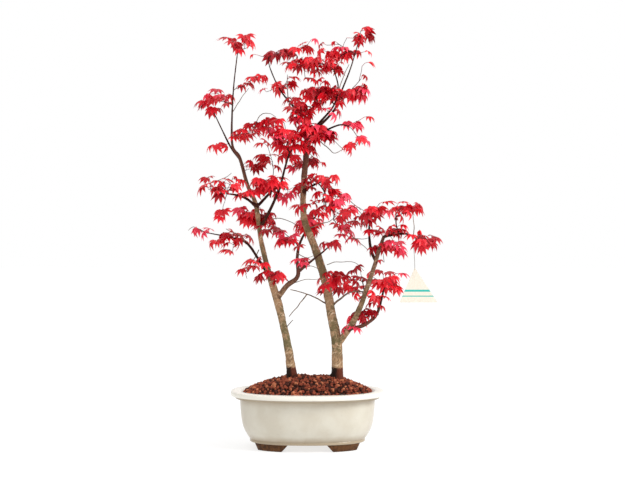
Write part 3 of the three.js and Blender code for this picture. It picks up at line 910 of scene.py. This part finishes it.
# Past this many sprays a twig grows no thicker.
MOST_FEEDS = 9
TWIG_STEP = 5
MOST_SWAY = 2.4
TRIES_FOR_A_SPRAY = 60
PICKS_FOR_A_SPRAY = 24
# The noise that sways the twigs starts from the clock unless it is seeded too.
noise.seed_set(TREE_SEED)


def mass_of(node):
    """A mass's search tree, corners in millimetres and volume in cubic centimetres."""
    mesh = frame["nodes"][node].data
    points = [v.co / MM for v in mesh.vertices]
    faces = [tuple(face.vertices) for face in mesh.polygons]
    # Six times the volume, in cubic millimetres.
    six_volumes = sum(points[a].dot(points[b].cross(points[c])) for a, b, c in faces)
    volume = six_volumes / 6000
    low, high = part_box(node)
    return BVHTree.FromPolygons(points, faces), low / MM, high / MM, volume


def depth_in(tree, spot):
    """How deep a spot lies in a mass, in millimetres, and less than 0 outside it."""
    near, normal, _, gap = tree.find_nearest(spot)
    return gap if (spot - near).dot(normal) < 0 else -gap


def spray_places(rng, tree, low, high, count):
    """Places for sprays, deep enough in a mass and well apart from each other."""
    inside = []
    for _ in range(count * TRIES_FOR_A_SPRAY):
        spot = Vector([rng.uniform(a, b) for a, b in zip(low, high, strict=True)])
        depth = depth_in(tree, spot)
        if depth > 0:
            inside.append((depth, spot))
    inside.sort(key=lambda found: -found[0])
    deep = [spot for depth, spot in inside[: max(len(inside) * 4 // 5, count)]]
    chosen = [deep[0]] if count == 1 else [rng.choice(deep)]
    while len(chosen) < count:
        chosen.append(max(
            (rng.choice(deep) for _ in range(PICKS_FOR_A_SPRAY)),
            key=lambda spot: min((spot - other).length for other in chosen),
        ))
    return chosen


def twig_line(start, way, goal):
    """A twig's line from the wood to its goal: out along the wood, then a slight arch."""
    span = goal - start
    reach = span.length
    ahead = span.normalized()
    first = (way * 0.4 + ahead + Vector((0, 0, 0.2))).normalized() * reach
    last = (ahead + Vector((0, 0, 0.15 if ahead.z > -0.4 else -0.3))).normalized() * reach
    count = max(4, round(reach / TWIG_STEP))
    line = []
    for i in range(count + 1):
        t = i / count
        spot = (
            start * (2 * t**3 - 3 * t**2 + 1) + first * (t**3 - 2 * t**2 + t)
            + goal * (3 * t**2 - 2 * t**3) + last * (t**3 - t**2)
        )
        sway = noise.noise_vector(spot * 0.055) * min(MOST_SWAY, reach * 0.05)
        line.append(spot + sway * math.sin(math.pi * t))
    return line


wood_points = []
for name, line in middles.items():
    for index in range(len(line) - 1):
        spot, radius = line[index]
        way = (line[index + 1][0] - spot).normalized()
        if spot.z > LOWEST_TWIG and radius < TWIG_BEARING_RADIUS:
            wood_points.append((spot, way, None, index))
twigs = []
sprays = []


def effort(pair):
    """How hard a goal is to reach: its distance, and less if the wood heads towards it."""
    goal, (spot, way, _, _) = pair
    span = goal - spot
    return span.length * (1.25 - 0.35 * span.normalized().dot(way))


def grow_twig(waiting, mass, leaves):
    """Grows a twig to whichever waiting place the wood reaches most easily."""
    pairs = ((goal, point) for goal in waiting for point in wood_points)
    goal, (spot, way, parent, index) = min(pairs, key=effort)
    waiting.remove(goal)
    line = twig_line(spot, way, goal)
    number = len(twigs)
    twigs.append({"line": line, "parent": parent, "at": index, "feeds": [1] * len(line)})
    for i in range(1, len(line) - 1):
        wood_points.append((line[i], (line[i + 1] - line[i]).normalized(), number, i))
    sprays.append((mass, number, leaves))


for node in FOLIAGE:
    tree, low, high, volume = mass_of(node)
    leaves = max(3, volume * LEAVES_PER_CUBIC_CM * FULLNESS.get(node, 1))
    chance = random.Random(f"{node} {TREE_SEED}")
    count = max(1, round(leaves / LEAVES_PER_SPRAY))
    waiting = spray_places(chance, tree, low, high, count)
    while waiting:
        grow_twig(waiting, tree, FULL_SPRAY)
for places, leaves in ((OPEN_SPRAYS, FULL_SPRAY), (LONE_LEAVES, 1)):
    waiting = [Vector(place) for place in places]
    while waiting:
        grow_twig(waiting, None, leaves)
for number in range(len(twigs) - 1, -1, -1):
    twig = twigs[number]
    parent, fed = twig["parent"], twig["feeds"][0]
    while parent is not None:
        for i in range(twig["at"] + 1):
            twigs[parent]["feeds"][i] += fed
        twig = twigs[parent]
        parent = twig["parent"]


def twig_radius(feeds):
    """A twig's radius in millimetres where it feeds that many sprays."""
    return TWIG_TIP_RADIUS * min(feeds, MOST_FEEDS) ** 0.42


fine_lines = [
    [(spot, twig_radius(feeds)) for spot, feeds in zip(twig["line"], twig["feeds"], strict=True)]
    for twig in twigs
]
MAROON_WOOD = ((0.050, 0.008, 0.009, 1), (0.115, 0.016, 0.017, 1))
GREY_WOOD = ((0.115, 0.075, 0.055, 1), (0.26, 0.19, 0.14, 1))


def twig_finish(name, deep, pale):
    """Smooth young bark with pale breathing pores."""
    material, place, shader = new_finish(name)
    clouds = place.grain(160, 3)
    pores = 1 - place.cells(900).between(0.12, 0.3)
    colour = clouds.between(0.38, 0.62).mix(deep, pale)
    colour = (pores * 0.35).mix(colour, tuple(min(1, c * 1.8) for c in pale))
    paint(
        shader,
        Base_Color=colour,
        Roughness=0.5 + clouds * 0.2,
        Specular_IOR_Level=0.15,
        Normal=place.grain(1500, 2).relief(0.0003, 0.6),
    )
    return material


shoots = tubes("shoots_maroon", fine_lines, 1)
smooth_shade(shoots, 75)
shoots.data.materials.append(twig_finish("maroon_shoot_bark", *MAROON_WOOD))
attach(shoots, "root")

# ---- bare side twigs ----
# Last year's thin twigs that carry no leaves stand out between the boughs, grey-brown and
# nearly straight, some with a short fork. Each is given by its places and its foot's radius.
BARE_TWIGS = (
    (2.0, (41, -2, 245), (59, 8, 260), (75, 14, 270), (98, 18, 271)),
    (1.5, (34, -3, 250), (18, -10, 259), (-1, -16, 268), (-30, -18, 276)),
    (1.3, (-1, -16, 268), (-8, -18, 258), (-32, -22, 229)),
    (1.0, (-40, 6, 205), (-32, 2, 215), (-25, 0, 222)),
    (0.9, (-64, 6, 399), (-43, 8, 399), (-26, 10, 392), (-11, 12, 380)),
    (0.9, (1, 2, 382), (22, -8, 390), (39, -14, 395), (50, -20, 405)),
    (0.8, (34, 0, 318), (46, -4, 323), (62, -8, 324), (82, -16, 323), (97, -26, 309)),
    (0.8, (72, -20, 374), (91, -36, 357), (104, -52, 345)),
    (0.8, (72, -20, 366), (94, -34, 364), (108, -42, 366)),
    (0.8, (66, -50, 435), (82, -46, 422), (92, -40, 414)),
    (0.8, (-12, -8, 313), (6, -14, 317), (22, -18, 310)),
    (0.8, (-34, 2, 284), (-4, -14, 293), (22, -20, 294)),
    (0.8, (-19, -2, 340), (-3, -12, 331), (15, -20, 336)),
    (1.0, (179, -80, 366), (180, -82, 382), (178, -84, 409)),
    (0.9, (-35, 28, 612), (-36, 26, 633), (-36, 24, 654)),
    (0.9, (14, -10, 540), (36, -26, 521), (46, -34, 512), (61, -42, 517)),
    (0.8, (-98, 26, 552), (-84, 16, 581), (-69, 8, 585), (-55, 0, 577)),
    (0.8, (-132, 32, 590), (-118, 28, 612), (-104, 24, 631)),
    (0.8, (-166, -36, 460), (-143, -40, 469), (-130, -42, 477)),
    (0.9, (53, -34, 615), (60, -30, 638), (72, -20, 667)),
    (0.9, (-86, 22, 345), (-98, 28, 323), (-109, 22, 306), (-107, 16, 293)),
    (0.9, (-112, 42, 358), (-120, 40, 369), (-146, 46, 382)),
    (0.9, (-182, 92, 374), (-193, 96, 380), (-209, 100, 386), (-218, 100, 379)),
    (1.0, (94, -42, 256), (85, -34, 274), (77, -20, 275)),
)
bare_lines = []
for radius, *spots in BARE_TWIGS:
    last = len(spots) - 1
    stations = [(*spot, radius * (1 - 0.45 * i / last)) for i, spot in enumerate(spots)]
    line = along(stations, 5)
    bare_lines.append([
        (spot + noise.noise_vector(spot * 0.08) * 1.1, size) for spot, size in line])
bare = tubes("twigs_bare", bare_lines, 1)
smooth_shade(bare, 75)
bare.data.materials.append(twig_finish("grey_twig_bark", *GREY_WOOD))
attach(bare, "root")

# ---- leaves ----
# The leaves of spring: palms of five or seven narrow pointed lobes that droop from the top of
# a thin red stalk like a half-open umbrella, in pairs along the shoots. The youngest, at the
# tips, are still folded.
LOBE_STATIONS = (0, 0.18, 0.38, 0.6, 0.82, 1)
LOBE_HALF_WIDTHS = (0, 0.090, 0.172, 0.142, 0.056, 0)
LOBE_PARTS = len(LOBE_STATIONS) - 1
# How far a lobe rises where it leaves the stalk, in radians.
FIRST_RISE = 0.12
# How far apart in height neighbouring lobes start, so that they don't cut each other.
LOBE_GAP = 0.012
LEAF_KINDS = (
    # bearings and lengths of the lobes, how far down they turn, and how folded they are
    ((0, 33, -33, 68, -68, 108, -108), (1, 0.94, 0.94, 0.76, 0.76, 0.46, 0.46), 52, 0.3),
    ((0, 36, -36, 76, -76), (1, 0.90, 0.92, 0.68, 0.70), 64, 0.35),
    ((0, 31, -34, 64, -66, 102, -104), (1, 0.96, 0.9, 0.80, 0.74, 0.48, 0.44), 36, 0.28),
    ((0, 40, -38, 84, -82), (1, 0.88, 0.90, 0.62, 0.66), 84, 0.4),
    ((0, 15, -16), (1, 0.85, 0.82), 48, 0.8),
)
# The first four kinds are open, and a lone leaf is of the second kind or the folded last one.
OPEN_CHANCES = (4, 3, 4, 2)
DROOPING, FOLDED = 1, 4
# What a leaf's stalk and tilt are drawn from: millimetres, and radians for the last two.
STALK_REACHES = (7, 16)
STALK_RISES = (-1, 9)
LEAF_LENGTHS = (19, 25.5)
TIPS_DOWN = (-0.1, 0.95)
ROLL_SPREAD = 0.35
# The first two leaves of a spray flank its tip, and the next two stand out at a node behind.
TIP_PAIR_SPREADS = (0.4, 0.9)
NODE_PAIR_SPREADS = (1.1, 1.7)
NODE_GAPS = (11, 17)
FARTHEST_OUTSIDE = 8
FOLDED_CHANCE = 0.25
FOLDED_LENGTHS = (11, 16)


def model_leaf(bearings, lengths, droop, fold):
    """One leaf a unit long: stalk at the origin, middle lobe along +X, upper side up."""
    clear_selection()
    for number, (bearing, length) in enumerate(zip(bearings, lengths, strict=True)):
        bpy.ops.mesh.primitive_grid_add(x_subdivisions=LOBE_PARTS, y_subdivisions=2, size=2)
        lobe = bpy.context.object
        turn = math.radians(bearing)
        down = math.radians(droop) * (1 + 0.12 * math.sin(2.4 * number))
        for vert in lobe.data.vertices:
            station = round((vert.co.x + 1) * LOBE_PARTS / 2)
            reach, fall = 0.0, 0.0
            for i in range(station):
                part = LOBE_STATIONS[i + 1] - LOBE_STATIONS[i]
                tilt = -FIRST_RISE + (down + FIRST_RISE) * ((i + 0.5) / LOBE_PARTS) ** 0.9
                reach += part * math.cos(tilt)
                fall += part * math.sin(tilt)
            across = vert.co.y * LOBE_HALF_WIDTHS[station]
            lift = abs(across) * fold
            vert.co = (
                length * (reach * math.cos(turn) - across * math.sin(turn)),
                length * (reach * math.sin(turn) + across * math.cos(turn)),
                length * (lift - fall) - LOBE_GAP * (number % 3) * (station > 0),
            )
        if number:
            leaf.select_set(True)
            bpy.context.view_layer.objects.active = leaf
            bpy.ops.object.join()
        leaf = bpy.context.object
        clear_selection()
    select_only(leaf)
    bpy.ops.object.mode_set(mode="EDIT")
    bpy.ops.mesh.select_all(action="SELECT")
    bpy.ops.mesh.remove_doubles(threshold=1e-4)
    bpy.ops.object.mode_set(mode="OBJECT")
    shape = shape_of(leaf)
    bpy.data.objects.remove(leaf)
    return shape


leaf_kinds = [model_leaf(*kind) for kind in LEAF_KINDS]
LEAF_COLOURS = {
    "leaves_crimson": (0.62, 0.005, 0.016, 1),
    "leaves_scarlet": (0.80, 0.011, 0.024, 1),
    "leaves_deep": (0.41, 0.003, 0.011, 1),
    "leaves_rose": (0.87, 0.050, 0.100, 1),
}
COLOUR_CHANCES = (0.46, 0.24, 0.16, 0.14)
STALK_DARK = (0.22, 0.006, 0.012, 1)
STALK_RED = (0.48, 0.02, 0.035, 1)
leaf_parts = {name: [] for name in LEAF_COLOURS}
stalks = []


def add_leaf(root, azimuth, kind, size, colour, rise, reach, tip_down, roll):
    """Puts one leaf on its stalk, which leaves the shoot at root and arches outward."""
    out = Vector((math.cos(azimuth), math.sin(azimuth), 0))
    top = root + out * reach + Vector((0, 0, rise))
    knee = root + out * reach * 0.45 + Vector((0, 0, rise * 0.75))
    points, faces = leaf_kinds[kind]
    turn = (
        Matrix.Rotation(azimuth, 3, "Z")
        @ Matrix.Rotation(tip_down, 3, "Y")
        @ Matrix.Rotation(roll, 3, "X")
    )
    leaf_parts[colour].append(((points * size) @ np.array(turn).T + np.array(top), faces))
    stalks.append([(root, 0.5), (knee, 0.4), (top, 0.42)])


def leaf_choice(rng, root, azimuth, mass):
    """Draws a leaf's stalk and tilt a few times, and keeps the one that suits its mass."""
    best = None
    for _ in range(6):
        angle = azimuth + rng.gauss(0, 0.3)
        reach = rng.uniform(*STALK_REACHES)
        rise = rng.uniform(*STALK_RISES)
        size = rng.uniform(*LEAF_LENGTHS)
        tip_down = rng.uniform(*TIPS_DOWN)
        roll = rng.gauss(0, ROLL_SPREAD)
        out = Vector((math.cos(angle), math.sin(angle), 0))
        middle = root + out * (reach + size * 0.35) + Vector((0, 0, rise - size * 0.35))
        depth = min(depth_in(mass, middle), 4) if mass else 0
        if best is None or depth > best[0]:
            best = (depth, angle, size, rise, reach, tip_down, roll)
    return best


def back_from_tip(line, way):
    """The place on a line that lies that far back from its tip."""
    for ahead, behind in zip(line[::-1], line[-2::-1]):
        gap = (ahead - behind).length
        if gap >= way:
            return ahead + (behind - ahead) * (way / gap)
        way -= gap
    return line[0]


for mass, number, count in sprays:
    line = twigs[number]["line"]
    heading = line[-1] - line[-2]
    heading = math.atan2(heading.y, heading.x)
    rng = random.Random(repr([round(part) for part in line[-1]]))
    colour = rng.choices(list(LEAF_COLOURS), COLOUR_CHANCES)[0]
    back = 0.0
    for index in range(count):
        if index == 2:
            back = rng.uniform(*NODE_GAPS)
        side = 1 - 2 * (index % 2)
        spread = rng.uniform(*(TIP_PAIR_SPREADS if index < 2 else NODE_PAIR_SPREADS))
        root = back_from_tip(line, back)
        depth, *drawn = leaf_choice(rng, root, heading + side * spread, mass)
        if depth < -FARTHEST_OUTSIDE:
            continue
        angle, size, rise, reach, tip_down, roll = drawn
        kind = rng.choices(range(len(OPEN_CHANCES)), OPEN_CHANCES)[0]
        if count == 1:
            kind = rng.choice((DROOPING, FOLDED, FOLDED))
            size *= 0.75
        add_leaf(root, angle, kind, size, colour, rise, reach, tip_down, roll)
    if count > 1 and rng.random() < FOLDED_CHANCE:
        angle = heading + rng.gauss(0, 0.3)
        size = rng.uniform(*FOLDED_LENGTHS)
        add_leaf(line[-1], angle, FOLDED, size, colour, rise=4, reach=3, tip_down=0.1, roll=0)

for name, tint in LEAF_COLOURS.items():
    leaves = joined(name, leaf_parts[name])
    smooth_shade(leaves, 60)
    skin, place, shader = new_finish(name + "_skin")
    paint(
        shader,
        Base_Color=tint,
        Roughness=0.40,
        Specular_IOR_Level=0.35,
        Normal=place.grain(1300, 2).relief(0.0004, 0.5),
    )
    leaves.data.materials.append(skin)
    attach(leaves, "root")
    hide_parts(*FOLIAGE)

stalk_piece = tubes("leaf_stalks", stalks, 0)
smooth_shade(stalk_piece, 100)
stalk_skin, place, shader = new_finish("red_stalk_skin")
colour = place.grain(200, 2).between(0.4, 0.6).mix(STALK_DARK, STALK_RED)
paint(shader, Base_Color=colour, Roughness=0.45)
stalk_piece.data.materials.append(stalk_skin)
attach(stalk_piece, "root")

# ---- tag ----
# A triangle of stiff cream card, cut with its point at the top, where a thin grey thread
# holds it. It carries two plain printed bands.
low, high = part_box("tag")
APEX_SHARE = 0.4
# Up the card, as shares of its height: the two bands, and two more cuts across its tip.
TAG_BANDS = ((0.30, 0.36), (0.16, 0.19))
TIP_CUTS = (0.86, 0.93)
CARD_THICKNESS = 0.7
CARD_CREAM = (0.70, 0.64, 0.53, 1)
CARD_PALE = (0.76, 0.71, 0.61, 1)
BAND_TEAL = (0.02, 0.42, 0.36, 1)
clear_selection()
bpy.ops.mesh.primitive_circle_add(vertices=3, radius=0.03, fill_type="NGON")
tag = bpy.context.object
tag.name = "tag_card"
apex_x = low.x + APEX_SHARE * (high.x - low.x)
middle_y = (low.y + high.y) / 2
for vert, corner in zip(tag.data.vertices, (
    (apex_x, middle_y, high.z), (low.x, middle_y, low.z), (high.x, middle_y, low.z),
), strict=True):
    vert.co = corner
bpy.ops.object.mode_set(mode="EDIT")
for share in sorted((*TAG_BANDS[0], *TAG_BANDS[1], *TIP_CUTS)):
    bpy.ops.mesh.select_all(action="SELECT")
    bpy.ops.mesh.bisect(
        plane_co=(0, 0, low.z + share * (high.z - low.z)), plane_no=(0, 0, 1))
bpy.ops.object.mode_set(mode="OBJECT")
refine(tag, "SOLIDIFY", thickness=CARD_THICKNESS * MM, offset=0)
refine(tag, "BEVEL", width=0.15 * MM, segments=2, limit_method="ANGLE")
card, place, shader = new_finish("cream_card")
height = (place.part("Z") - low.z) / (high.z - low.z)
fibres = place.stretch(1, 1, 0.4).grain(900, 3)
colour = fibres.between(0.3, 0.7).mix(CARD_CREAM, CARD_PALE)
for bottom, top in TAG_BANDS:
    inside = height.between(bottom, bottom + 0.01) * (1 - height.between(top, top + 0.01))
    colour = inside.mix(colour, BAND_TEAL)
paint(shader, Base_Color=colour, Roughness=0.7, Normal=fibres.relief(0.0002, 0.5))
tag.data.materials.append(card)
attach(tag, "root")
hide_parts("tag")

# ---- thread of the tag ----
# Thin grey twine, tied in a small loop round the bare twig above the card. It hangs nearly
# straight down and is fastened at the card's top corner.
THREAD_RADIUS = 0.45
THREAD_LINE = (
    (181, -86, 312, THREAD_RADIUS), (181, -86, 322, 0.5), (180, -85.5, 340, THREAD_RADIUS),
    (178.6, -84.4, 358, THREAD_RADIUS), (178, -84, 366, 0.5),
)
LOOP_MIDDLE = (179, -82, 368)
LOOP_HALF = (3.2, 2.4, 3.0)
LOOP_STEPS = 16
TWINE_DARK = (0.17, 0.16, 0.15, 1)
TWINE_PALE = (0.42, 0.40, 0.37, 1)
loop = []
for step in range(LOOP_STEPS + 1):
    turn = 2 * math.pi * step / LOOP_STEPS
    ways = (math.cos(turn), math.sin(turn), math.sin(turn))
    spot = Vector([m + h * way for m, h, way in zip(LOOP_MIDDLE, LOOP_HALF, ways)])
    loop.append((spot, THREAD_RADIUS))
thread = tubes("tag_thread", [along(THREAD_LINE, 2), loop], 1)
smooth_shade(thread, 80)
twine, place, shader = new_finish("grey_twine")
twist = place.stretch(1, 1, 3).grain(900, 1)
paint(
    shader,
    Base_Color=twist.between(0.35, 0.65).mix(TWINE_DARK, TWINE_PALE),
    Roughness=0.85,
    Normal=twist.relief(0.0003, 0.7),
)
thread.data.materials.append(twine)
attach(thread, "root")
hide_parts("tag_string")
